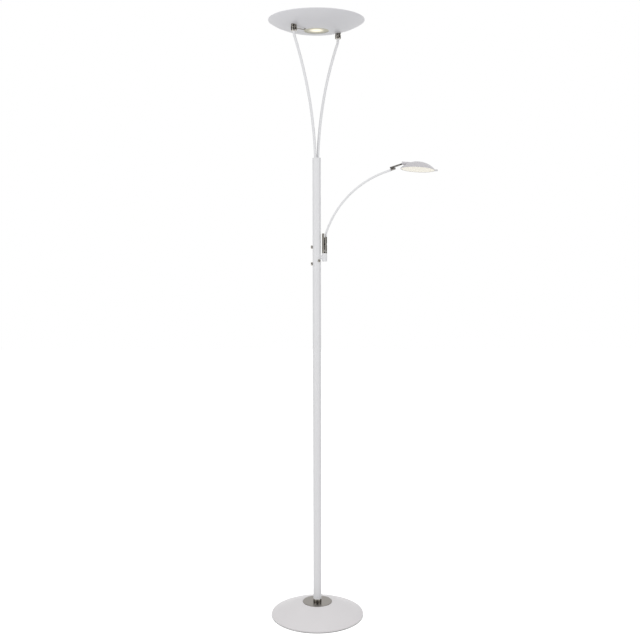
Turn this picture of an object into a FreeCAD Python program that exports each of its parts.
import FreeCAD, Part
import math
import os

from FreeCAD import Vector

# A torchiere floor lamp: a tall pole on a round weighted base, a wide shallow dish held up by
# two bowed tubes, and a reading light on a bowed side arm.
# The origin is the middle of the underside of the base. +Z is up, the reading arm points
# to +X, and -Y is the front. All sizes are millimetres.

# Base
pad_thickness = 2.4
pad_margin = 3.3              # edge of the bottom plate to the pad
plate_thickness = 1.0
plate_side_gap = 0.5
cover_radius = 141.0
cover_wall = 1.2
cover_edge_gap = 2.0          # floor to the lower edge of the cover
cover_lip_height = 3.9        # the upright lip at the foot of the dome
crown_radius = 46.0           # where the dome ends and the seat of the disc begins
crown_height = 41.2
dome_bulge = 2.3              # how far the dome swells out of a straight cone
seat_step = 1.2
seat_edge = 0.9
disc_side_gap = 0.6           # edge of the seat to the trim disc
disc_thickness = 1.5
disc_chamfer = 0.5
weight_side_gap = 21.8        # cover's wall to the side of the weight
weight_top_gap = 1.5          # dome to the weight, upright
weight_shoulder_radius = 76.0
weight_boss_radius = 31.0
nut_pocket_radius = 16.5
nut_pocket_depth = 12.0
wire_channel_width = 8.0
wire_channel_height = 5.0
driver_width = 36.0
driver_length = 62.0
driver_start = 38.0           # from the pole's axis to the near end of the driver
driver_corner_radius = 2.0
driver_clearance = 3.0
driver_head_room = 1.25       # dome to the driver's far corners
inlet_room = 10.0             # driver to the start of the inlet
inlet_rise = 0.6              # plate to the inlet
inlet_gap = 0.3               # cover's lip to the flange of the inlet
inlet_radius = 4.4
inlet_wall = 1.2
inlet_flange_rim = 1.2
inlet_flange_width = 2.0

# Threaded tube that holds base and pole together
stud_radius = 5.0
stud_wall = 1.4
stud_proud = 0.4              # below its nut
stud_reach = 15.0             # above the collar
nut_flats = 17.0
nut_height = 5.6
washer_radius = 10.5
washer_thickness = 1.4

# Pole
pole_radius = 12.5
pole_wall = 1.2
collar_lip = 0.5              # how far the collar stands out from the pole
collar_wall = 2.9
collar_height = 9.5
collar_round = 0.8
foot_plug_length = 24.0
section_length = 450.0
upper_section_length = 446.0
cap_height = 4.0
cap_round = 0.8
coupler_length = 60.0
coupler_wall = 1.7
cap_floor = 1.0               # below the ends of the bowed tubes
cap_wire_hole = 2.0
wires_radius = 1.4
wires_gap = 0.4               # between the wires and the plate in the base
wires_bend = 4.0
wires_step = 30.0             # height in which the wires move aside in the pole
wires_swing = 60.0            # radius of their bends there
wires_side_gap = 0.5          # between the wires and the dimmers
wires_gather = 41.0           # how far below the bow they are back in the middle

# The two bowed tubes that hold the dish. They lie in an upright plane through the pole
arm_plane_turn = 39.0         # degrees from the X axis to that plane
arm_radius = 4.0
arm_wall = 1.0
arm_side_gap = 0.2            # pole's axis to the wall of each tube
arm_spread = 83.0             # pole axis to tube axis at the top
arm_cap_depth = 40.0          # pole's top to the start of the bow
arm_bow_radius = 994.0
arm_knee_radius = 30.0
arm_end_depth = 5.0           # how far each tube reaches down past the start of the bow
arm_upright_end = 3.08        # straight end of each tube below its fork

# Tilting joints under the dish
fork_radius = 8.8
fork_chamfer = 1.5
fork_socket_depth = 3.2
fork_wire_hole = 2.0
fork_floor = 0.5              # end of the tube to the fork's slot
prong_round = 5.4
tongue_thickness = 6.0
tongue_round = 5.0
tongue_side_gap = 0.15
tongue_end_gap = 0.3
tilt_screw_radius = 2.0
tilt_screw_inset = 1.0        # its end, inside the fork's surface
tilt_head_radius = 3.5
tilt_head_height = 2.2
tilt_head_depth = 0.2
tilt_key_radius = 1.5
tilt_key_depth = 1.0
saddle_gap = 0.4              # prong tips to the saddle above them
saddle_thickness = 2.57       # saddle to the bowl, at the fork's axis
tongue_stud_radius = 2.0
tongue_stud_end_gap = 0.2
wedge_radius = 5.5
wedge_rise = 5.2              # above the bowl's inner face, measured at the stud
dome_nut_flats = 7.0
dome_nut_height = 4.2
dome_nut_wall = 1.0

# Dish
dish_radius = 141.7
dish_rise = 30.2              # from the floor of the bowl to its lip
dish_wall = 1.5
dish_lip = 1.5
dish_curve_power = 3.0
dish_curve_points = 7
glass_seat_radius = 37.0
glass_seat_rise = 1.07        # above the outside of the bowl, where its curve starts
glass_ledge = 2.5             # how far the glass reaches over its seat
glass_side_gap = 0.3
glass_thickness = 3.1
gasket_width = 3.5
gasket_thickness = 1.0
carrier_wall = 4.7
carrier_side_gap = 0.5
seat_slope_width = 3.0        # from the bowl's flat seat up to its curve, inside
carrier_ledge = 2.3           # how far the carrier reaches in over the glass
carrier_plate_overhang = 13.5
carrier_plate_thickness = 3.0
carrier_height = 16.9
carrier_fins = 24
carrier_fin_thickness = 1.2
carrier_fin_inset = 1.0
carrier_fin_gap = 0.5         # above the studs of the foot
board_thickness = 1.6
down_board_radius = 19.0
up_board_margin = 8.0
cover_side_gap = 0.5
cover_skirt_drop = 2.5
cover_skirt_rise = 3.0
cover_dome_rise = 7.0
opal_wall = 2.0
carrier_foot_width = 8.0
carrier_foot_thickness = 2.0
carrier_foot_gap = 0.3        # bowl to the underside of the foot, at the foot's rim
carrier_stud_radius = 1.5
carrier_stud_proud = 0.7
carrier_stud_count = 3
carrier_nut_flats = 5.5
carrier_nut_height = 2.4
lead_radius = 1.25
lead_drop = 2.3               # floor of the bowl to the lead below it
lead_side_gap = 2.4           # glass to the lead
lead_bend = 4.5
lead_depth = 8.0              # how far the lead runs up inside the light unit
lead_fork_depth = 0.9         # how far it starts inside the fork
grommet_radius = 3.0
grommet_groove = 1.0
grommet_lip = 1.6

# Dimmer knobs on the left of the pole
knob_rises = {"upper": 30.5, "lower": -19.5}  # above the bracket's neck
knob_radius = 5.3
knob_length = 4.9
knob_gap = 0.3
knob_grooves = 16
knob_groove_radius = 0.45
knob_round = 0.7
dimmer_radius = 5.7
dimmer_depth = 8.0
dimmer_face = 7.4             # pole axis to the front of the dimmer's body
dimmer_bush_radius = 3.4
dimmer_bush_proud = 0.9
bush_side_gap = 0.4
shaft_radius = 1.6
shaft_proud = 4.0
shaft_depth = 3.0             # how far the knob's shaft reaches into the dimmer's body
knob_floor = 0.2              # end of the shaft to the bottom of its hole in the knob

# Bracket of the reading arm
bracket_drop = 295.5          # pole's top to the bracket's neck
cup_side_gap = 3.25           # pole to the cup
cup_radius = 7.65
cup_length = 25.0
cup_round = 1.5
neck_radius = 5.5
neck_spigot_radius = 4.0
neck_spigot_length = 9.0
spigot_end_gap = 0.5
anchor_gap = 0.3              # lower dimmer to the anchor
anchor_rise = 7.5             # neck to the top of the anchor
anchor_wire_gap = 1.0
lock_screw_drop = 9.9         # neck to the lock screw
lock_screw_turn = -57.0       # degrees from +X, seen from above
lock_head_radius = 4.4
lock_head_height = 2.2
lock_head_round = 1.32
lock_slot_width = 1.0
lock_slot_depth = 0.8
lock_slot_length = 6.0
lock_shank_radius = 2.0
lock_shank_length = 7.0
stem_radius = 4.0
stem_end_gap = 1.2            # bottom of the cup to the end of the stem
swivel_nut_flats = 9.5
swivel_nut_height = 4.0
swivel_nut_side_gap = 0.4
swivel_washer_thickness = 1.0
swivel_washer_side_gap = 0.4
cup_recess_depth = 6.5
swivel_face_gap = 0.1

# Lower knuckle: a half round post on the swivel and a half round bar on the arm
post_foot_height = 5.4
knuckle_pin_rise = 21.5       # foot of the post to the cross screw
post_rise = 32.0              # cross screw to the top of the post
arm_half_rise = 22.0          # cross screw to the top of the arm's half
half_gap = 0.9                # axis to each flat
half_chamfer = 0.5
arm_half_bottom_gap = 0.5
friction_pad_thickness = 1.5
friction_pad_side_margin = 1.35
friction_pad_margin = 2.0
friction_pad_corner_radius = 3.0
knuckle_screw_radius = 2.5
knuckle_screw_end = 1.5       # end of the screw to the outside of the post
knuckle_head_radius = 4.0
knuckle_head_height = 2.4
knuckle_key_radius = 1.7
knuckle_key_depth = 1.4
knuckle_head_depth = 0.9

# Reading arm
tube_radius = 3.2
tube_wall = 0.8
tube_upright = 7.9
tube_knee_radius = 14.0
tube_bow_radius = 287.5
tube_start_heading = 71.5
tube_end_heading = 18.0
spigot_length = 8.0
spigot_room = 1.0             # tube's straight end past the spigot in it

# Upper knuckle between arm and head
head_roll = 4.3               # degrees the head is turned towards the front
knuckle_radius = 6.0
knuckle_half_gap = 0.8
knuckle_chamfer = 0.5
knuckle_tube_drop = 3.6       # mid plane of the knuckle to the tube's axis
knuckle_short_length = 15.0
knuckle_long_length = 31.0
knuckle_pin_place = 7.5
knuckle_pin_radius = 1.6
knuckle_pin_head = 2.9
knuckle_pin_head_height = 1.6
knuckle_pin_head_depth = 0.6
knuckle_pin_end_depth = 1.2
knuckle_washer_radius = 4.6
washer_face_gap = 0.1
knuckle_bar_spigot = 2.4
knuckle_bar_spigot_length = 8.0

# Reading head
head_radius = 51.5
head_rise = 22.0
head_wall = 1.6
head_band = 1.5
head_overlap = 1.25           # how far the head's near edge lies below the end of the knuckle
head_edge_drop = 6.51         # knuckle's mid plane to the head's near edge
head_nose_down = 22.0         # degrees between the knuckle's axis and the head's rim
head_boss_radius = 4.8
head_boss_drop = 7.4          # dome's top to the middle of the boss
head_boss_inset = 2.5
head_boss_length = 29.0
head_post_radius = 3.0
head_post_ring = 34.0
head_post_count = 3
head_post_drop = 14.4         # dome's top to the end of the posts
head_plate_thickness = 1.6
head_plate_gap = 0.4
head_board_margin = 1.0
head_screw_radius = 1.2
head_screw_head = 2.4
head_screw_head_height = 1.2
head_screw_reach = 2.6        # how far the screws reach into the posts
head_lens_edge = 1.0
head_lens_rise = 1.6
head_lens_side_gap = 0.15
grip_length = 8.0
grip_width = 14.0
grip_thickness = 3.0
grip_overlap = 2.0
grip_round = 0.6
grip_corner_radius = 4.2

# Fits
slip_clearance = 0.05         # tubes, plugs and pins in their bores
screw_clearance = 0.1
press_clearance = 0.02
socket_end_gap = 0.3          # end of a spigot to the bottom of its socket
sink = 0.5                    # how far two fused shapes of one piece reach into each other
spare = 1.0                   # how far a cutting shape reaches past what it cuts

# Sizes worked out from the ones above
plate_top = pad_thickness + plate_thickness
cover_inner_radius = cover_radius - cover_wall
plate_radius = cover_inner_radius - plate_side_gap
pad_radius = plate_radius - pad_margin
weight_radius = cover_inner_radius - weight_side_gap
lip_top = cover_edge_gap + cover_lip_height
seat_height = crown_height - seat_step
under_seat = seat_height - cover_wall
disc_radius = crown_radius - seat_edge - disc_side_gap
disc_top = seat_height + disc_thickness
driver_end = driver_start + driver_length
inlet_start = driver_end + inlet_room
inlet_height = plate_top + inlet_rise + inlet_radius
collar_top = disc_top + collar_height
collar_radius = pole_radius + collar_lip
collar_bore = collar_radius - collar_wall
pole_bore = pole_radius - pole_wall
plug_radius = pole_bore - slip_clearance
washer_top = plate_top + nut_pocket_depth
washer_bottom = washer_top - washer_thickness
nut_bottom = washer_bottom - nut_height
stud_bore = stud_radius - stud_wall
wires_height = plate_top + wires_gap + wires_radius
wires_aside = dimmer_radius + wires_side_gap + wires_radius
pole_top = collar_top + 2 * section_length + upper_section_length + cap_height

neck_height = pole_top - bracket_drop
knob_heights = {name: neck_height + rise for name, rise in knob_rises.items()}
swivel_offset = pole_radius + cup_side_gap + cup_radius
cup_bottom = neck_height - cup_length / 2
cup_top = neck_height + cup_length / 2
cup_recess_radius = swivel_nut_flats / math.sqrt(3) + swivel_nut_side_gap
anchor_bottom = knob_heights["lower"] + dimmer_radius + anchor_gap
anchor_top = neck_height + anchor_rise
lock_screw_height = neck_height - lock_screw_drop
post_foot_bottom = cup_top + swivel_face_gap
post_foot_top = post_foot_bottom + post_foot_height
knuckle_pin_height = post_foot_top + knuckle_pin_rise
post_top = knuckle_pin_height + post_rise
arm_half_top = knuckle_pin_height + arm_half_rise
half_centre = (half_gap + cup_radius) / 2

arm_half_spacing = arm_side_gap + arm_radius
arm_bow_start = pole_top - arm_cap_depth
arm_turn_radius = arm_bow_radius + arm_knee_radius
arm_bow_turn = math.acos(1 - (arm_spread - arm_half_spacing) / arm_turn_radius)
arm_top = arm_bow_start + arm_turn_radius * math.sin(arm_bow_turn)
fork_bottom = arm_top + arm_upright_end
tilt_height = fork_bottom + fork_socket_depth + fork_floor + tongue_end_gap + tongue_round
slot_half_width = tongue_thickness / 2 + tongue_side_gap
saddle_height = tilt_height + prong_round + saddle_gap
dish_rise_at_fork = dish_rise * (arm_spread / dish_radius) ** dish_curve_power
dish_floor_height = saddle_height + saddle_thickness - dish_rise_at_fork
rim_height = dish_floor_height + dish_rise + dish_lip
glass_radius = glass_seat_radius + glass_ledge
glass_room = glass_radius + glass_side_gap
carrier_radius = glass_room + carrier_wall
carrier_bore = glass_room - carrier_ledge
carrier_room_radius = carrier_radius + carrier_side_gap
dish_curve_start = carrier_radius + dish_wall
dish_rise_at_seat = dish_rise * (dish_curve_start / dish_radius) ** dish_curve_power
glass_seat_height = dish_floor_height + dish_rise_at_seat + glass_seat_rise
glass_top = glass_seat_height + glass_thickness
carrier_plate_radius = carrier_radius + carrier_plate_overhang
carrier_foot_radius = carrier_radius + carrier_foot_width
carrier_stud_ring = carrier_radius + carrier_foot_width / 2
carrier_top = glass_seat_height + carrier_height
cover_skirt_radius = carrier_plate_radius + cover_side_gap + opal_wall
lead_hole_ring = glass_room + lead_side_gap
lead_height = dish_floor_height - lead_drop

tube_end_run = spigot_length + spigot_room
knuckle_half_centre = (knuckle_half_gap + knuckle_radius) / 2
head_tilt = math.radians(head_nose_down)
head_reach = knuckle_long_length - head_overlap + head_radius * math.cos(head_tilt)
head_drop = head_edge_drop + head_radius * math.sin(head_tilt)
head_boss_height = head_rise - head_boss_drop
head_boss_start = head_radius - head_boss_inset
head_post_end = head_rise - head_post_drop

UP = Vector(0, 0, 1)
AXIS_X = Vector(1, 0, 0)
AXIS_Y = Vector(0, 1, 0)
ORIGIN = Vector(0, 0, 0)


def rod(radius, length, base=ORIGIN, axis=UP):
    return Part.makeCylinder(radius, length, base, axis)


def ring(outer, inner, bottom, top):
    """An upright ring between two heights."""
    base = Vector(0, 0, bottom)
    return rod(outer, top - bottom, base).cut(rod(inner, top - bottom, base))


def block(x_from, x_to, y_from, y_to, z_from, z_to):
    corner = Vector(x_from, y_from, z_from)
    return Part.makeBox(x_to - x_from, y_to - y_from, z_to - z_from, corner)


def flat_point(point):
    """A point of an outline, given as radius and height."""
    return Vector(point[0], 0, point[1])


def spin(edges):
    """Turn a closed outline of edges about the Z axis."""
    wire = Part.Wire(Part.__sortEdges__(edges))
    return Part.Face(wire).revolve(ORIGIN, UP, 360)


def line_edges(points):
    vectors = [flat_point(p) for p in points]
    return [Part.makeLine(a, b) for a, b in zip(vectors, vectors[1:])]


def spin_points(points):
    return spin(line_edges(points + [points[0]]))


def arc_edge(start, middle, end):
    return Part.Arc(flat_point(start), flat_point(middle), flat_point(end)).toShape()


def crown_arc(radius, edge_height, crown_height):
    """Half of a shallow arc, from its crown on the Z axis to its edge."""
    rise = crown_height - edge_height
    bend = (radius ** 2 + rise ** 2) / (2 * rise)
    turn = math.asin(radius / abs(bend))
    middle = (abs(bend) * math.sin(turn / 2), crown_height - bend * (1 - math.cos(turn / 2)))
    return arc_edge((0, crown_height), middle, (radius, edge_height))


def curve_edge(points):
    curve = Part.BSplineCurve()
    curve.interpolate([flat_point(p) for p in points])
    return curve.toShape()


def hex_nut(flats, height, bore, bottom):
    corner = flats / math.sqrt(3)
    corners = []
    for side in range(7):
        angle = math.radians(60 * side)
        corners.append(Vector(corner * math.cos(angle), corner * math.sin(angle), bottom))
    nut = Part.Face(Part.makePolygon(corners)).extrude(Vector(0, 0, height))
    if bore:
        nut = nut.cut(rod(bore, height, Vector(0, 0, bottom)))
    return nut


def moved(shape, place):
    """A copy of a shape at a placement."""
    copy = shape.copy()
    copy.Placement = place.multiply(copy.Placement)
    return copy.transformed(FreeCAD.Matrix(), True)


def turned(shape, degrees, centre=ORIGIN, axis=UP):
    return moved(shape, FreeCAD.Placement(ORIGIN, FreeCAD.Rotation(axis, degrees), centre))


def shifted(shape, x, y, z):
    return moved(shape, FreeCAD.Placement(Vector(x, y, z), FreeCAD.Rotation()))


def round_ring(count, shape):
    """Copies of a shape at even turns about the Z axis."""
    return [turned(shape, 360.0 * number / count) for number in range(count)]


def save(name, shape):
    """Write one named piece, as its separate solids."""
    solids = shape.Solids
    for solid in solids:
        if not solid.isValid() or solid.Volume <= 0:
            print("check the solid", name)
    body = solids[0] if len(solids) == 1 else Part.makeCompound(solids)
    body.exportStep("parts/" + name + ".step")
    print(f"{name:18s} {len(solids):2d} {body.Volume / 1000:9.2f} cm3 {body.BoundBox.ZMin:8.1f}")


# The dome of the base is an arc through its crown and its lip

def dome_centre_and_radius():
    start = Vector(crown_radius, 0, crown_height)
    end = Vector(cover_radius, 0, lip_top)
    chord = end - start
    radius = (chord.Length ** 2 / 4 + dome_bulge ** 2) / (2 * dome_bulge)
    inward = Vector(chord.z, 0, -chord.x).normalize()
    centre = (start + end) / 2 + inward * (radius - dome_bulge)
    return centre, radius


def dome_height(distance, inset=0.0):
    """Height of the dome at a distance from the pole's axis, a wall thickness inside it."""
    centre, radius = dome_centre_and_radius()
    return centre.z + math.sqrt((radius - inset) ** 2 - (distance - centre.x) ** 2)


def dome_arc(near, far, inset=0.0):
    middle = (near + far) / 2
    points = [(r, dome_height(r, inset)) for r in (near, middle, far)]
    return arc_edge(*points)


def make_base():
    inner_crown = crown_radius + cover_wall
    bore = stud_radius + screw_clearance
    outline = line_edges([
        (crown_radius, dome_height(crown_radius)),
        (crown_radius - seat_edge, seat_height),
        (bore, seat_height),
        (bore, under_seat),
        (crown_radius, under_seat),
        (inner_crown, dome_height(inner_crown, cover_wall))])
    outline.append(dome_arc(inner_crown, cover_inner_radius, cover_wall))
    outline += line_edges([
        (cover_inner_radius, dome_height(cover_inner_radius, cover_wall)),
        (cover_inner_radius, cover_edge_gap),
        (cover_radius, cover_edge_gap),
        (cover_radius, lip_top)])
    outline.append(dome_arc(crown_radius, cover_radius))
    cover = spin(outline)
    inlet_place = Vector(0, inlet_start, inlet_height)
    inlet_hole = rod(inlet_radius + slip_clearance, cover_radius, inlet_place, AXIS_Y)
    save("base_cover", cover.cut(inlet_hole))

    edge_height = dome_height(weight_radius, cover_wall) - weight_top_gap
    shoulder_height = dome_height(weight_shoulder_radius, cover_wall) - weight_top_gap
    weight = spin_points([
        (bore, washer_top),
        (nut_pocket_radius, washer_top),
        (nut_pocket_radius, plate_top),
        (weight_radius, plate_top),
        (weight_radius, edge_height),
        (weight_shoulder_radius, shoulder_height),
        (weight_boss_radius, shoulder_height),
        (weight_boss_radius, under_seat),
        (bore, under_seat)])
    half_pocket = driver_width / 2 + driver_clearance
    driver_corner = math.hypot(driver_end, driver_width / 2)
    driver_top = dome_height(driver_corner, cover_wall) - driver_head_room
    pocket = block(-half_pocket, half_pocket, driver_start - driver_clearance, cover_radius,
                   plate_top, driver_top + driver_clearance)
    channel = block(-wire_channel_width / 2, wire_channel_width / 2, 0, driver_start,
                    plate_top, plate_top + wire_channel_height)
    save("base_weight", weight.cut(pocket).cut(channel))

    save("base_plate", ring(plate_radius, nut_pocket_radius, pad_thickness, plate_top))
    save("base_pad", rod(pad_radius, pad_thickness))

    disc = ring(disc_radius, bore, seat_height, disc_top)
    top_edge = [e for e in disc.Edges if e.BoundBox.ZMin > disc_top - 0.01
                and e.BoundBox.XMax > disc_radius - 0.01]
    save("trim_disc", disc.makeChamfer(disc_chamfer, top_edge))

    driver = block(-driver_width / 2, driver_width / 2, driver_start, driver_end,
                   plate_top, driver_top)
    uprights = [e for e in driver.Edges if abs(e.tangentAt(0).z) > 0.9]
    save("led_driver", driver.makeFillet(driver_corner_radius, uprights))

    inlet_length = cover_radius + inlet_gap - inlet_start
    gland = rod(inlet_radius, inlet_length, inlet_place, AXIS_Y)
    flange_place = inlet_place + AXIS_Y * inlet_length
    flange_radius = inlet_radius + inlet_flange_rim
    gland = gland.fuse(rod(flange_radius, inlet_flange_width, flange_place, AXIS_Y))
    bore_length = inlet_length + inlet_flange_width
    save("inlet_grommet", gland.cut(rod(inlet_radius - inlet_wall, bore_length, inlet_place, AXIS_Y)))


def make_base_fixings():
    stud = ring(stud_radius, stud_bore, nut_bottom - stud_proud, collar_top + stud_reach)
    save("base_stud", stud)
    bore = stud_radius + slip_clearance
    save("base_washer", ring(washer_radius, bore, washer_bottom, washer_top))
    save("base_nut", hex_nut(nut_flats, nut_height, bore, nut_bottom))
    foot = ring(collar_bore - screw_clearance, bore, disc_top, collar_top)
    foot = foot.fuse(ring(plug_radius, bore, collar_top, collar_top + foot_plug_length))
    save("pole_foot", foot.removeSplitter())
    collar = ring(collar_radius, collar_bore, disc_top, collar_top)
    outer_edges = [e for e in collar.Edges if e.BoundBox.XMax > collar_radius - 0.01
                   and e.BoundBox.ZLength < 0.01]
    save("foot_collar", collar.makeFillet(collar_round, outer_edges))


# The pole, in three sections on inner couplers

def make_pole(tubes):
    section_ends = [collar_top, collar_top + section_length, collar_top + 2 * section_length,
                    pole_top - cap_height]
    sections = {}
    for number, name in enumerate(("pole_lower", "pole_middle", "pole_upper")):
        sections[name] = ring(pole_radius, pole_bore, section_ends[number],
                              section_ends[number + 1])
    upper = sections["pole_upper"]
    neck_hole = rod(neck_spigot_radius + slip_clearance, pole_radius,
                    Vector(pole_bore / 2, 0, neck_height), AXIS_X)
    upper = upper.cut(neck_hole)
    for height in knob_heights.values():
        bush_hole = rod(dimmer_bush_radius + slip_clearance, pole_radius,
                        Vector(-pole_bore / 2, 0, height), -AXIS_X)
        upper = upper.cut(bush_hole)
    lock_hole = rod(lock_shank_radius + slip_clearance, pole_radius,
                    Vector(pole_bore / 2, 0, lock_screw_height), AXIS_X)
    upper = upper.cut(turned(lock_hole, lock_screw_turn))
    sections["pole_upper"] = upper
    for name, shape in sections.items():
        save(name, shape)
    couplers = [ring(plug_radius, plug_radius - coupler_wall, middle - coupler_length / 2,
                     middle + coupler_length / 2) for middle in section_ends[1:3]]
    save("pole_couplers", Part.makeCompound(couplers))

    cap = rod(pole_radius, cap_height, Vector(0, 0, pole_top - cap_height))
    top_edge = [e for e in cap.Edges if e.BoundBox.ZMin > pole_top - 0.01]
    cap = cap.makeFillet(cap_round, top_edge)
    plug_bottom = arm_bow_start - arm_end_depth - cap_floor
    plug_length = pole_top - cap_height - plug_bottom
    cap = cap.fuse(rod(plug_radius, plug_length, Vector(0, 0, plug_bottom)))
    for tube in tubes:
        cap = cap.cut(tube)
    hole_start = Vector(-arm_half_spacing, 0, plug_bottom - cap_floor)
    wire_hole = rod(cap_wire_hole, 3 * cap_floor, hole_start)
    cap = cap.cut(turned(wire_hole, arm_plane_turn))
    save("pole_cap", cap.removeSplitter())


# The bowed tubes: upright, a long bow outwards, and a short bend back to upright

def arm_path():
    turn = arm_bow_turn

    def on_bow(angle):
        return (arm_half_spacing + arm_bow_radius * (1 - math.cos(angle)),
                arm_bow_start + arm_bow_radius * math.sin(angle))

    def on_knee(angle):
        return (arm_spread - arm_knee_radius * (1 - math.cos(angle)),
                arm_top - arm_knee_radius * math.sin(angle))

    edges = line_edges([(arm_half_spacing, arm_bow_start - arm_end_depth), on_bow(0)])
    edges.append(arc_edge(on_bow(0), on_bow(turn / 2), on_bow(turn)))
    edges.append(arc_edge(on_knee(turn), on_knee(turn / 2), on_knee(0)))
    edges += line_edges([on_knee(0), (arm_spread, fork_bottom + fork_socket_depth)])
    return Part.Wire(edges)


def pipe(path, radius):
    """A round bar along a path."""
    first = path.OrderedEdges[0]
    heading = first.tangentAt(first.FirstParameter)
    profile = Part.Wire(Part.makeCircle(radius, path.OrderedVertexes[0].Point, heading))
    return path.makePipeShell([profile], True, False)


def rounded_path(points, radii):
    """Edges through points, with an arc of the given radius at each inner point."""
    edges = []
    start = points[0]
    for number, radius in enumerate(radii):
        before, corner, after = points[number:number + 3]
        back = (before - corner).normalize()
        ahead = (after - corner).normalize()
        half_turn = (math.pi - back.getAngle(ahead)) / 2
        reach = radius * math.tan(half_turn)
        arc_start = corner + back * reach
        arc_end = corner + ahead * reach
        towards_centre = (back + ahead).normalize()
        sagitta = radius / math.cos(half_turn) - radius
        edges.append(Part.makeLine(start, arc_start))
        edges.append(Part.Arc(arc_start, corner + towards_centre * sagitta, arc_end).toShape())
        start = arc_end
    edges.append(Part.makeLine(start, points[-1]))
    return Part.Wire(edges)


def tube_along(path, radius, wall):
    return pipe(path, radius).cut(pipe(path, radius - wall))


def make_arms():
    path = arm_path()
    arm = tube_along(path, arm_radius, arm_wall)
    outer = pipe(path, arm_radius + slip_clearance)
    arms = {"arm_right": arm, "arm_left": turned(arm, 180)}
    for name, shape in arms.items():
        save(name, turned(shape, arm_plane_turn))
    return [turned(outer, arm_plane_turn), turned(outer, arm_plane_turn + 180)]


def make_wires():
    """The wires from the driver in the base to the dish: up the pole and the left tube."""
    turn = math.radians(arm_plane_turn + 180)
    side = Vector(math.cos(turn), math.sin(turn), 0)
    aside = Vector(0, wires_aside, 0)
    first_dimmer = min(knob_heights.values()) - dimmer_radius
    last_dimmer = max(knob_heights.values()) + dimmer_radius
    points = [
        Vector(0, driver_start, wires_height),
        Vector(0, 0, wires_height),
        Vector(0, 0, first_dimmer - 2 * wires_step),
        aside + Vector(0, 0, first_dimmer - wires_step),
        aside + Vector(0, 0, last_dimmer + wires_step),
        side * arm_half_spacing + Vector(0, 0, arm_bow_start - wires_gather),
        side * arm_half_spacing + Vector(0, 0, arm_bow_start)]
    swing = wires_swing
    lower = rounded_path(points, [wires_bend, swing, swing, swing, swing])
    save("pole_wires", pipe(lower, wires_radius))


# Fork and tongue, made at the right hand end and turned round for the left one

def fork():
    middle = Vector(arm_spread, 0, fork_bottom)
    body = rod(fork_radius, saddle_height - fork_bottom, middle)
    lower = [e for e in body.Edges if e.BoundBox.ZMax < fork_bottom + 0.01]
    body = body.makeChamfer(fork_chamfer, lower)
    slant = prong_round * math.sqrt(0.5)
    wide = fork_radius + spare
    tip = Part.Arc(Vector(0, -slant, slant), Vector(0, 0, prong_round), Vector(0, slant, slant))
    below = fork_bottom - tilt_height - spare
    side = 2 * slant - wide
    corners = [Vector(0, slant, slant), Vector(0, wide, side), Vector(0, wide, below),
               Vector(0, -wide, below), Vector(0, -wide, side), Vector(0, -slant, slant)]
    edges = [tip.toShape()] + [Part.makeLine(a, b) for a, b in zip(corners, corners[1:])]
    shape = Part.Face(Part.Wire(Part.__sortEdges__(edges)))
    shape = shape.extrude(Vector(2 * wide, 0, 0))
    body = body.common(shifted(shape, arm_spread - wide, 0, tilt_height))
    slot_floor = tilt_height - tongue_round - tongue_end_gap
    body = body.cut(block(arm_spread - slot_half_width, arm_spread + slot_half_width,
                          -wide, wide, slot_floor, rim_height))
    screw_start = Vector(arm_spread - wide, 0, tilt_height)
    body = body.cut(rod(tilt_screw_radius + press_clearance, 2 * wide, screw_start, AXIS_X))
    head_seat = Vector(arm_spread + fork_radius - tilt_head_height, 0, tilt_height)
    body = body.cut(rod(tilt_head_radius + screw_clearance, fork_radius, head_seat, AXIS_X))
    body = body.cut(rod(arm_radius + press_clearance, fork_socket_depth, middle))
    return body.cut(rod(fork_wire_hole, tilt_height - fork_bottom, middle))


def tilt_screw():
    start = Vector(arm_spread - fork_radius + tilt_screw_inset, 0, tilt_height)
    head_seat = arm_spread + fork_radius - tilt_head_height
    screw = rod(tilt_screw_radius, head_seat - start.x, start, AXIS_X)
    seat = Vector(head_seat, 0, tilt_height)
    head_length = tilt_head_height - tilt_head_depth
    head = rod(tilt_head_radius, head_length, seat, AXIS_X)
    key_start = seat + AXIS_X * (head_length - tilt_key_depth)
    key = rod(tilt_key_radius, head_length, key_start, AXIS_X)
    return screw.fuse(head.cut(key)).removeSplitter()


def tongue(bowl_solid):
    half = tongue_thickness / 2
    pin = Vector(arm_spread - half, 0, tilt_height)
    plate = rod(tongue_round, tongue_thickness, pin, AXIS_X)
    plate = plate.fuse(block(arm_spread - half, arm_spread + half, -tongue_round, tongue_round,
                             tilt_height, rim_height))
    saddle = rod(fork_radius, rim_height - saddle_height, Vector(arm_spread, 0, saddle_height))
    plate = plate.fuse(saddle)
    plate = plate.cut(bowl_solid)
    plate = [s for s in plate.Solids if s.BoundBox.ZMin < saddle_height][0]
    nut_bottom_height = bowl_height(arm_spread, dish_wall) + wedge_rise
    nut_bore_top = nut_bottom_height + dome_nut_height - dome_nut_wall
    stud = rod(tongue_stud_radius, nut_bore_top - tongue_stud_end_gap - saddle_height,
               Vector(arm_spread, 0, saddle_height))
    plate = plate.fuse(stud).removeSplitter()
    return plate.cut(rod(tilt_screw_radius + slip_clearance, tongue_thickness, pin, AXIS_X))


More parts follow.
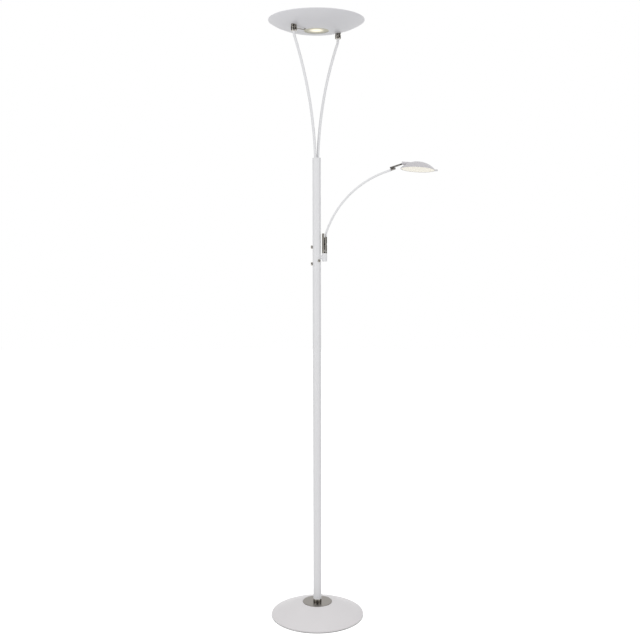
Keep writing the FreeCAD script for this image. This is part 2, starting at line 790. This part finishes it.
def make_tilt_joints(bowl_solid):
    one_fork = fork()
    one_screw = tilt_screw()
    one_tongue = tongue(bowl_solid)
    pieces = {"tilt_forks": one_fork, "tilt_tongues": one_tongue, "tilt_screws": one_screw}
    wedge_bottom = saddle_height
    wedge_height = bowl_height(arm_spread, dish_wall) + wedge_rise
    wedge = rod(wedge_radius, wedge_height - wedge_bottom, Vector(arm_spread, 0, wedge_bottom))
    wedge = wedge.cut(bowl_solid)
    wedge = [s for s in wedge.Solids if s.BoundBox.ZMax > wedge_height - slip_clearance][0]
    wedge = wedge.cut(rod(tongue_stud_radius + screw_clearance, rim_height,
                          Vector(arm_spread, 0, wedge_bottom)))
    nut = hex_nut(dome_nut_flats, dome_nut_height, 0, wedge_height)
    nut = shifted(nut, arm_spread, 0, 0)
    nut = nut.cut(rod(tongue_stud_radius + slip_clearance, dome_nut_height - dome_nut_wall,
                      Vector(arm_spread, 0, wedge_height)))
    pieces["tongue_wedges"] = wedge
    pieces["tongue_nuts"] = nut
    for name, shape in pieces.items():
        pair = [turned(shape, turn) for turn in (arm_plane_turn, arm_plane_turn + 180)]
        save(name, Part.makeCompound(pair))


# The dish: a bowl that grows steeper towards its rim

def bowl_height(distance, inset=0.0):
    """Height of the bowl at a distance from its axis, a wall thickness above its outside."""
    part = distance / dish_radius
    slope = dish_rise * dish_curve_power / dish_radius * part ** (dish_curve_power - 1)
    rise = dish_rise * part ** dish_curve_power
    return dish_floor_height + rise + inset * math.hypot(1, slope)


def bowl_curve(near, far, inset=0.0):
    step = (far - near) / (dish_curve_points - 1)
    radii = [near + step * number for number in range(dish_curve_points)]
    return curve_edge([(r, bowl_height(r, inset)) for r in radii])


def bowl():
    inner_end = dish_radius - dish_wall
    inner_start = carrier_room_radius + seat_slope_width
    outline = [bowl_curve(dish_curve_start, dish_radius)]
    outline += line_edges([
        (dish_radius, bowl_height(dish_radius)),
        (dish_radius, rim_height),
        (inner_end, rim_height),
        (inner_end, bowl_height(inner_end, dish_wall))])
    outline.append(bowl_curve(inner_start, inner_end, dish_wall))
    outline += line_edges([
        (inner_start, bowl_height(inner_start, dish_wall)),
        (carrier_room_radius, glass_seat_height),
        (glass_seat_radius, glass_seat_height),
        (glass_seat_radius, glass_seat_height - dish_wall),
        (dish_curve_start, bowl_height(dish_curve_start))])
    return spin(outline)


def make_dish():
    shell = bowl()
    make_tilt_joints(shell)
    holes = []
    for turn in (arm_plane_turn, arm_plane_turn + 180):
        hole = rod(tongue_stud_radius + screw_clearance, rim_height - saddle_height,
                   Vector(arm_spread, 0, saddle_height))
        holes.append(turned(hole, turn))
    grommet_neck = grommet_radius - grommet_groove
    hole_length = glass_seat_height - dish_floor_height + 2 * dish_wall
    lead_hole = rod(grommet_neck + slip_clearance, hole_length,
                    Vector(-lead_hole_ring, 0, dish_floor_height - dish_wall))
    holes.append(turned(lead_hole, arm_plane_turn))
    drilled = shell
    for hole in holes:
        drilled = drilled.cut(hole)
    stud_start = bowl_height(carrier_stud_ring) + dish_wall / 2
    stud = rod(carrier_stud_radius, carrier_stud_top() - stud_start,
               Vector(carrier_stud_ring, 0, stud_start))
    for copy in round_ring(carrier_stud_count, stud):
        drilled = drilled.fuse(copy)
    save("dish_bowl", drilled)

    make_lead(shell, grommet_neck)
    make_light_unit()


def carrier_foot_top():
    foot_bottom = bowl_height(carrier_foot_radius, dish_wall) + carrier_foot_gap
    return foot_bottom + carrier_foot_thickness


def carrier_stud_top():
    return carrier_foot_top() + carrier_nut_height + carrier_stud_proud


def make_lead(shell, grommet_neck):
    """The thin lead under the dish, from the left joint to the light unit, and its grommet."""
    start = Vector(-(arm_spread - fork_radius + lead_fork_depth), 0, tilt_height)
    corner = Vector(-lead_hole_ring, 0, lead_height)
    end = Vector(-lead_hole_ring, 0, glass_seat_height + lead_depth)
    path = rounded_path([start, corner, end], [lead_bend])
    save("dish_lead", turned(pipe(path, lead_radius), arm_plane_turn))

    under = bowl_height(lead_hole_ring)
    place = Vector(-lead_hole_ring, 0, under - grommet_lip)
    lip = rod(grommet_radius, 2 * grommet_lip, place).cut(shell)
    lip = [solid for solid in lip.Solids if solid.BoundBox.ZMin < under - grommet_lip / 2][0]
    neck = rod(grommet_neck, glass_seat_height - place.z, place)
    grommet = lip.fuse(neck).removeSplitter().cut(pipe(path, lead_radius + slip_clearance))
    save("lead_grommet", turned(grommet, arm_plane_turn))


def make_light_unit():
    save("downlight_glass", rod(glass_radius, glass_thickness, Vector(0, 0, glass_seat_height)))
    gasket_top = glass_top + gasket_thickness
    save("glass_gasket", ring(glass_radius, glass_radius - gasket_width, glass_top, gasket_top))

    plate_bottom = carrier_top - carrier_plate_thickness
    foot_top = carrier_foot_top()
    foot_bottom = foot_top - carrier_foot_thickness
    carrier = spin_points([
        (glass_room, glass_seat_height), (carrier_radius, glass_seat_height),
        (carrier_radius, foot_bottom), (carrier_foot_radius, foot_bottom),
        (carrier_foot_radius, foot_top), (carrier_radius, foot_top),
        (carrier_radius, plate_bottom), (carrier_plate_radius, plate_bottom),
        (carrier_plate_radius, carrier_top), (0, carrier_top), (0, plate_bottom),
        (carrier_bore, plate_bottom), (carrier_bore, gasket_top), (glass_room, gasket_top)])
    fin = block(carrier_radius - sink, carrier_plate_radius - carrier_fin_inset,
                -carrier_fin_thickness / 2, carrier_fin_thickness / 2,
                carrier_stud_top() + carrier_fin_gap, plate_bottom)
    first_fin = turned(fin, arm_plane_turn + 180.0 / carrier_fins)
    for copy in round_ring(carrier_fins, first_fin):
        carrier = carrier.fuse(copy)
    stud_hole = rod(carrier_stud_radius + screw_clearance, foot_top - glass_seat_height,
                    Vector(carrier_stud_ring, 0, glass_seat_height))
    for hole in round_ring(carrier_stud_count, stud_hole):
        carrier = carrier.cut(hole)
    lead_hole = rod(lead_radius + slip_clearance, lead_depth + socket_end_gap,
                    Vector(-lead_hole_ring, 0, glass_seat_height))
    carrier = carrier.cut(turned(lead_hole, arm_plane_turn))
    save("light_carrier", carrier.removeSplitter())
    nut = hex_nut(carrier_nut_flats, carrier_nut_height,
                  carrier_stud_radius + slip_clearance, foot_top)
    nut = shifted(nut, carrier_stud_ring, 0, 0)
    save("carrier_nuts", Part.makeCompound(round_ring(carrier_stud_count, nut)))

    under_plate = Vector(0, 0, plate_bottom - board_thickness)
    save("downlight_board", rod(down_board_radius, board_thickness, under_plate))
    up_board_radius = carrier_plate_radius - up_board_margin
    save("uplight_board", rod(up_board_radius, board_thickness, Vector(0, 0, carrier_top)))

    skirt_bottom = carrier_top - cover_skirt_drop
    skirt_top = carrier_top + cover_skirt_rise
    dome_top = skirt_top + cover_dome_rise - opal_wall
    inner_radius = cover_skirt_radius - opal_wall
    ledge_radius = inner_radius - opal_wall
    outline = line_edges([(0, dome_top + opal_wall), (0, dome_top)])
    outline.append(crown_arc(ledge_radius, skirt_top, dome_top))
    outline += line_edges([
        (ledge_radius, skirt_top), (ledge_radius, carrier_top), (inner_radius, carrier_top),
        (inner_radius, skirt_bottom), (cover_skirt_radius, skirt_bottom),
        (cover_skirt_radius, skirt_top)])
    outline.append(crown_arc(cover_skirt_radius, skirt_top, dome_top + opal_wall))
    save("uplight_cover", spin(outline))


# Rotary dimmers, one for each light

def make_dimmers():
    bodies = []
    for name, height in knob_heights.items():
        face = Vector(-dimmer_face, 0, height)
        body = rod(dimmer_radius, dimmer_depth, face, AXIS_X)
        bush_length = pole_radius + dimmer_bush_proud - dimmer_face
        body = body.fuse(rod(dimmer_bush_radius, bush_length, face, -AXIS_X))
        shaft_start = face + AXIS_X * shaft_depth
        shaft_length = pole_radius + shaft_proud - dimmer_face + shaft_depth
        body = body.cut(rod(shaft_radius + slip_clearance, shaft_length, shaft_start, -AXIS_X))
        bodies.append(body.removeSplitter())
        save("knob_shaft_" + name, rod(shaft_radius, shaft_length, shaft_start, -AXIS_X))
        save("knob_" + name, knob(height))
    save("dimmers", Part.makeCompound(bodies))


def knob(height):
    start = Vector(-(pole_radius + knob_gap), 0, height)
    shape = rod(knob_radius, knob_length, start, -AXIS_X)
    tip = [e for e in shape.Edges if e.BoundBox.XMax < start.x - knob_length + slip_clearance]
    shape = shape.makeFillet(knob_round, tip)
    groove = rod(knob_groove_radius, knob_length - 2 * knob_round,
                 start + Vector(0, knob_radius + knob_groove_radius / 3, 0), -AXIS_X)
    for number in range(knob_grooves):
        angle = 360.0 * number / knob_grooves
        shape = shape.cut(turned(groove, angle, Vector(0, 0, height), AXIS_X))
    bush_room = rod(dimmer_bush_radius + bush_side_gap, dimmer_bush_proud, start, -AXIS_X)
    shaft_room = rod(shaft_radius + press_clearance, shaft_proud - knob_gap + knob_floor,
                     start, -AXIS_X)
    return shape.cut(bush_room).cut(shaft_room)


# Bracket, swivel and lower knuckle of the reading arm

def upright_at_swivel(shape):
    return shifted(shape, swivel_offset, 0, 0)


def make_bracket():
    cup = rod(cup_radius, cup_top - cup_bottom, Vector(0, 0, cup_bottom))
    lower = [e for e in cup.Edges if e.BoundBox.ZMax < cup_bottom + 0.01]
    cup = upright_at_swivel(cup.makeFillet(cup_round, lower))
    neck = rod(neck_radius, swivel_offset, Vector(0, 0, neck_height), AXIS_X)
    neck = neck.cut(rod(pole_radius, 4 * neck_radius,
                        Vector(0, 0, neck_height - 2 * neck_radius)))
    spigot = rod(neck_spigot_radius, swivel_offset - pole_radius + neck_spigot_length,
                 Vector(pole_radius - neck_spigot_length, 0, neck_height), AXIS_X)
    body = cup.fuse(neck).fuse(spigot)
    stem_room = rod(stem_radius + slip_clearance, cup_top - cup_bottom, Vector(0, 0, cup_bottom))
    recess = rod(cup_recess_radius, cup_recess_depth, Vector(0, 0, cup_bottom))
    body = body.cut(upright_at_swivel(stem_room.fuse(recess)))
    save("arm_bracket", body.removeSplitter())

    anchor = rod(plug_radius, anchor_top - anchor_bottom, Vector(0, 0, anchor_bottom))
    anchor = anchor.cut(rod(neck_spigot_radius + slip_clearance, 2 * plug_radius,
                            Vector(pole_radius - neck_spigot_length - spigot_end_gap, 0,
                                   neck_height),
                            AXIS_X))
    lock_start = pole_radius - lock_shank_length - spigot_end_gap
    lock_hole = rod(lock_shank_radius + slip_clearance, 2 * plug_radius,
                    Vector(lock_start, 0, lock_screw_height), AXIS_X)
    anchor = anchor.cut(turned(lock_hole, lock_screw_turn))
    wire_hole = rod(wires_radius + anchor_wire_gap, anchor_top - anchor_bottom,
                    Vector(0, wires_aside, anchor_bottom))
    save("bracket_anchor", anchor.cut(wire_hole))

    head_start = Vector(pole_radius, 0, lock_screw_height)
    head = rod(lock_head_radius, lock_head_height, head_start, AXIS_X)
    head_end = pole_radius + lock_head_height
    tip = [e for e in head.Edges if e.BoundBox.XMin > head_end - slip_clearance]
    head = head.makeFillet(lock_head_round, tip)
    slot = block(head_end - lock_slot_depth, head_end + spare,
                 -lock_slot_width / 2, lock_slot_width / 2,
                 lock_screw_height - lock_slot_length / 2,
                 lock_screw_height + lock_slot_length / 2)
    shank = rod(lock_shank_radius, lock_shank_length,
                head_start - AXIS_X * lock_shank_length, AXIS_X)
    save("lock_screw", turned(head.cut(slot).fuse(shank).removeSplitter(), lock_screw_turn))


def half_round(radius, flat, chamfer, bottom, top, side):
    """Half a round bar on one side of its axis, with its flat kept away from the axis."""
    bar = rod(radius, top - bottom, Vector(0, 0, bottom))
    wide = radius + spare
    keep = block(flat, wide, -wide, wide, bottom - spare, top + spare)
    bar = bar.common(keep)
    long_edges = [e for e in bar.Edges if e.BoundBox.ZLength > (top - bottom) * 0.9
                  and abs(e.BoundBox.XMin - flat) < 0.01]
    bar = bar.makeChamfer(chamfer, long_edges)
    if side < 0:
        bar = turned(bar, 180)
    return bar


def make_swivel():
    stem_bottom = cup_bottom + stem_end_gap
    post = rod(stem_radius, post_foot_bottom - stem_bottom, Vector(0, 0, stem_bottom))
    post = post.fuse(rod(cup_radius, post_foot_height, Vector(0, 0, post_foot_bottom)))
    post = post.fuse(half_round(cup_radius, half_gap, half_chamfer, post_foot_top - sink,
                                post_top, -1))
    pin_start = Vector(-cup_radius + knuckle_screw_end, 0, knuckle_pin_height)
    post = post.cut(rod(knuckle_screw_radius + press_clearance, cup_radius, pin_start, AXIS_X))
    save("swivel_post", upright_at_swivel(post.removeSplitter()))

    half_width = cup_radius - friction_pad_side_margin
    pad = block(-half_gap, -half_gap + friction_pad_thickness, -half_width, half_width,
                post_foot_top + friction_pad_margin, arm_half_top - friction_pad_margin)
    rounded = [e for e in pad.Edges if abs(e.tangentAt(0).x) > 0.9]
    pad = pad.makeFillet(friction_pad_corner_radius, rounded)
    pad = pad.cut(rod(knuckle_screw_radius + screw_clearance, 2 * cup_radius,
                      Vector(-cup_radius, 0, knuckle_pin_height), AXIS_X))
    save("friction_pad", upright_at_swivel(pad))

    recess_top = cup_bottom + cup_recess_depth - swivel_face_gap
    bore = stem_radius + slip_clearance
    washer = ring(cup_recess_radius - swivel_washer_side_gap, bore, recess_top - swivel_washer_thickness,
                  recess_top)
    save("swivel_washer", upright_at_swivel(washer))
    nut_top = recess_top - swivel_washer_thickness
    nut = hex_nut(swivel_nut_flats, swivel_nut_height, bore, nut_top - swivel_nut_height)
    save("swivel_nut", upright_at_swivel(nut))

    head_seat = cup_radius - knuckle_head_depth - knuckle_head_height
    screw = rod(knuckle_screw_radius, head_seat - pin_start.x, pin_start, AXIS_X)
    head_place = Vector(head_seat, 0, knuckle_pin_height)
    head = rod(knuckle_head_radius, knuckle_head_height, head_place, AXIS_X)
    key_start = head_place + AXIS_X * (knuckle_head_height - knuckle_key_depth)
    key = rod(knuckle_key_radius, knuckle_head_height, key_start, AXIS_X)
    screw = screw.fuse(head.cut(key)).removeSplitter()
    save("knuckle_screw", upright_at_swivel(screw))


def make_arm_knuckle():
    bottom = post_foot_top + arm_half_bottom_gap
    bar = half_round(cup_radius, half_gap, half_chamfer, bottom, arm_half_top, 1)
    reach = knuckle_pin_height - bottom
    round_end = rod(reach, 3 * cup_radius, Vector(-spare, 0, knuckle_pin_height), AXIS_X)
    above = block(-spare, 3 * cup_radius, -2 * cup_radius, 2 * cup_radius,
                  knuckle_pin_height, arm_half_top + spare)
    bar = bar.common(round_end.fuse(above))
    pin_place = Vector(0, 0, knuckle_pin_height)
    bar = bar.cut(rod(knuckle_screw_radius + slip_clearance, 3 * cup_radius, pin_place, AXIS_X))
    head_seat = cup_radius - knuckle_head_depth - knuckle_head_height - slip_clearance
    bar = bar.cut(rod(knuckle_head_radius + screw_clearance, cup_radius,
                      Vector(head_seat, 0, knuckle_pin_height), AXIS_X))
    spigot = rod(tube_radius - tube_wall - slip_clearance, spigot_length + sink,
                 Vector(half_centre, 0, arm_half_top - sink))
    save("arm_knuckle", upright_at_swivel(bar.fuse(spigot).removeSplitter()))


def reading_arm_points():
    """Named points of the reading arm's line, as distance from the pole's axis and height."""
    heading = math.radians(tube_start_heading)
    end_heading = math.radians(tube_end_heading)
    root = (swivel_offset + half_centre, arm_half_top)
    knee_start = (root[0], root[1] + tube_upright)

    def on_knee(angle):
        return (knee_start[0] + tube_knee_radius * (1 - math.cos(angle)),
                knee_start[1] + tube_knee_radius * math.sin(angle))

    knee_turn = math.pi / 2 - heading
    knee_end = on_knee(knee_turn)
    centre = (knee_end[0] + tube_bow_radius * math.sin(heading),
              knee_end[1] - tube_bow_radius * math.cos(heading))

    def on_bow(angle):
        return (centre[0] - tube_bow_radius * math.sin(angle),
                centre[1] + tube_bow_radius * math.cos(angle))

    bow_end = on_bow(end_heading)
    end = (bow_end[0] + tube_end_run * math.cos(end_heading),
           bow_end[1] + tube_end_run * math.sin(end_heading))
    return {"root": root, "knee_start": knee_start, "knee_middle": on_knee(knee_turn / 2),
            "knee_end": knee_end, "bow_middle": on_bow((heading + end_heading) / 2),
            "bow_end": bow_end, "end": end}


def make_reading_tube():
    p = reading_arm_points()
    edges = line_edges([p["root"], p["knee_start"]])
    edges.append(arc_edge(p["knee_start"], p["knee_middle"], p["knee_end"]))
    edges.append(arc_edge(p["knee_end"], p["bow_middle"], p["bow_end"]))
    edges += line_edges([p["bow_end"], p["end"]])
    save("reading_tube", tube_along(Part.Wire(edges), tube_radius, tube_wall))


# Upper knuckle, made along +X with its pin upright, then placed at the end of the tube

def knuckle_placement():
    end = reading_arm_points()["end"]
    roll = FreeCAD.Rotation(AXIS_X, -head_roll)
    pitch = FreeCAD.Rotation(AXIS_Y, -tube_end_heading)
    tip = flat_point(end)
    return FreeCAD.Placement(tip, pitch.multiply(roll))


def at_knuckle(shape):
    """Move a piece from the knuckle's own frame, whose origin is the end of the tube's axis."""
    return moved(shifted(shape, 0, 0, knuckle_tube_drop), knuckle_placement())


def lying_half(length, side):
    bar = half_round(knuckle_radius, knuckle_half_gap, knuckle_chamfer, 0, length, 1)
    lying = turned(bar, 90, ORIGIN, AXIS_Y)
    if side > 0:
        lying = turned(lying, 180, ORIGIN, AXIS_X)
    return lying


def make_head_knuckle():
    shank_room = rod(knuckle_pin_radius + slip_clearance, 4 * knuckle_radius,
                     Vector(knuckle_pin_place, 0, -2 * knuckle_radius))
    head_seat = -knuckle_radius + knuckle_pin_head_height + knuckle_pin_head_depth
    head_room = rod(knuckle_pin_head + screw_clearance, knuckle_radius,
                    Vector(knuckle_pin_place, 0, head_seat - knuckle_radius))
    short_half = lying_half(knuckle_short_length, -1)
    short_half = short_half.cut(shank_room).cut(head_room)
    spigot = rod(tube_radius - tube_wall - slip_clearance, spigot_length + sink,
                 Vector(-spigot_length, 0, -knuckle_tube_drop), AXIS_X)
    short_half = short_half.fuse(spigot).removeSplitter()
    save("knuckle_short", at_knuckle(short_half))

    screw_top = knuckle_radius - knuckle_pin_end_depth
    screw = rod(knuckle_pin_radius, screw_top - head_seat,
                Vector(knuckle_pin_place, 0, head_seat))
    head = rod(knuckle_pin_head, knuckle_pin_head_height,
               Vector(knuckle_pin_place, 0, head_seat - knuckle_pin_head_height))
    save("knuckle_pin", at_knuckle(screw.fuse(head).removeSplitter()))

    washer = ring(knuckle_washer_radius, knuckle_pin_radius + slip_clearance,
                  -knuckle_half_gap, knuckle_half_gap - washer_face_gap)
    save("knuckle_washer", at_knuckle(shifted(washer, knuckle_pin_place, 0, 0)))

    long_half = lying_half(knuckle_long_length, 1).cut(shank_room)
    bar_spigot = rod(knuckle_bar_spigot, knuckle_bar_spigot_length + sink,
                     Vector(knuckle_long_length - sink, 0, knuckle_half_centre), AXIS_X)
    save("knuckle_long", at_knuckle(long_half.fuse(bar_spigot).removeSplitter()))


# Reading head, made with its rim level at Z = 0 and its dome upwards

def at_head(shape):
    """Move a piece from the head's own frame to its place on the knuckle."""
    tilt = FreeCAD.Rotation(AXIS_Y, head_nose_down)
    middle = Vector(head_reach, 0, -head_drop)
    return at_knuckle(moved(shape, FreeCAD.Placement(middle, tilt)))


def from_knuckle_to_head(shape):
    tilt = FreeCAD.Rotation(AXIS_Y, head_nose_down)
    place = FreeCAD.Placement(Vector(head_reach, 0, -head_drop), tilt)
    return moved(shape, place.inverse())


def make_head():
    sphere_radius = (head_radius ** 2 + head_rise ** 2) / (2 * head_rise)
    sphere_centre = Vector(0, 0, head_rise - sphere_radius)
    inner_radius = sphere_radius - head_wall
    above = rod(2 * head_radius, 2 * head_rise)
    outer = Part.makeSphere(sphere_radius, sphere_centre).common(above)
    inner = Part.makeSphere(inner_radius, sphere_centre).common(above)
    boss_start = Vector(-head_boss_start, 0, head_boss_height)
    boss = rod(head_boss_radius, head_boss_length, boss_start, AXIS_X)
    bar_end = block(-2 * head_radius, knuckle_long_length + slip_clearance,
                    -head_radius, head_radius, -head_radius, head_radius)
    boss = boss.cut(from_knuckle_to_head(bar_end))
    boss = boss.cut(inner)
    boss = max(boss.Solids, key=lambda solid: solid.Volume)
    socket = rod(knuckle_bar_spigot + press_clearance,
                 knuckle_bar_spigot_length + socket_end_gap,
                 Vector(knuckle_long_length, 0, knuckle_half_centre), AXIS_X)
    shell = outer.cut(inner).fuse(boss)
    shell = shell.cut(from_knuckle_to_head(socket))
    post = rod(head_post_radius, head_rise, Vector(head_post_ring, 0, head_post_end))
    post = post.common(Part.makeSphere(inner_radius + head_wall / 4, sphere_centre))
    post_hole = rod(head_screw_radius + slip_clearance, head_screw_reach + socket_end_gap,
                    Vector(head_post_ring, 0, head_post_end))
    for copy in round_ring(head_post_count, turned(post, 60)):
        shell = shell.fuse(copy)
    for copy in round_ring(head_post_count, turned(post_hole, 60)):
        shell = shell.cut(copy)
    shell = shell.fuse(ring(head_radius, head_radius - head_wall, -head_band, slip_clearance))
    save("head_shell", at_head(shell.removeSplitter()))

    reach = math.sqrt(inner_radius ** 2 - (head_post_end - sphere_centre.z) ** 2)
    plate_radius = reach - head_plate_gap
    plate_bottom = head_post_end - head_plate_thickness
    screw_hole = rod(head_screw_radius + screw_clearance, head_rise,
                     Vector(head_post_ring, 0, 0))
    holes = Part.makeCompound(round_ring(head_post_count, turned(screw_hole, 60)))
    plate = rod(plate_radius, head_plate_thickness, Vector(0, 0, plate_bottom))
    save("head_plate", at_head(plate.cut(holes)))
    board_bottom = plate_bottom - board_thickness
    board = rod(plate_radius - head_board_margin, board_thickness, Vector(0, 0, board_bottom))
    save("head_board", at_head(board.cut(holes)))

    screw_head = rod(head_screw_head, head_screw_head_height,
                     Vector(head_post_ring, 0, board_bottom - head_screw_head_height))
    shank_length = board_thickness + head_plate_thickness + head_screw_reach
    shank = rod(head_screw_radius, shank_length, Vector(head_post_ring, 0, board_bottom))
    screw = screw_head.fuse(shank).removeSplitter()
    screws = round_ring(head_post_count, turned(screw, 60))
    save("head_screws", at_head(Part.makeCompound(screws)))

    lens_radius = head_radius - head_wall - head_lens_side_gap
    lens_low = -head_lens_edge - head_lens_rise
    outline = line_edges([(0, 0), (0, lens_low)])
    outline.append(crown_arc(lens_radius, -head_lens_edge, lens_low))
    outline += line_edges([(lens_radius, -head_lens_edge), (lens_radius, 0), (0, 0)])
    save("head_diffuser", at_head(shifted(spin(outline), 0, 0, -slip_clearance)))

    grip = block(head_radius - grip_overlap, head_radius + grip_length, -grip_width / 2,
                 grip_width / 2, -head_band, -head_band + grip_thickness)
    ends = [e for e in grip.Edges if abs(e.tangentAt(0).z) > 0.9
            and e.BoundBox.XMin > head_radius]
    grip = grip.makeFillet(grip_corner_radius, ends)
    near_end = head_radius - grip_overlap + slip_clearance
    rounded = [e for e in grip.Edges if e.BoundBox.XMin > near_end
               and e.BoundBox.ZLength < slip_clearance]
    grip = grip.makeFillet(grip_round, rounded)
    shell_space = rod(head_radius, head_rise, Vector(0, 0, -head_band))
    save("head_grip", at_head(grip.cut(shell_space)))


os.makedirs("parts", exist_ok=True)
make_base()
make_base_fixings()
arm_solids = make_arms()
make_pole(arm_solids)
make_wires()
make_dish()
make_dimmers()
make_bracket()
make_swivel()
make_arm_knuckle()
make_reading_tube()
make_head_knuckle()
make_head()
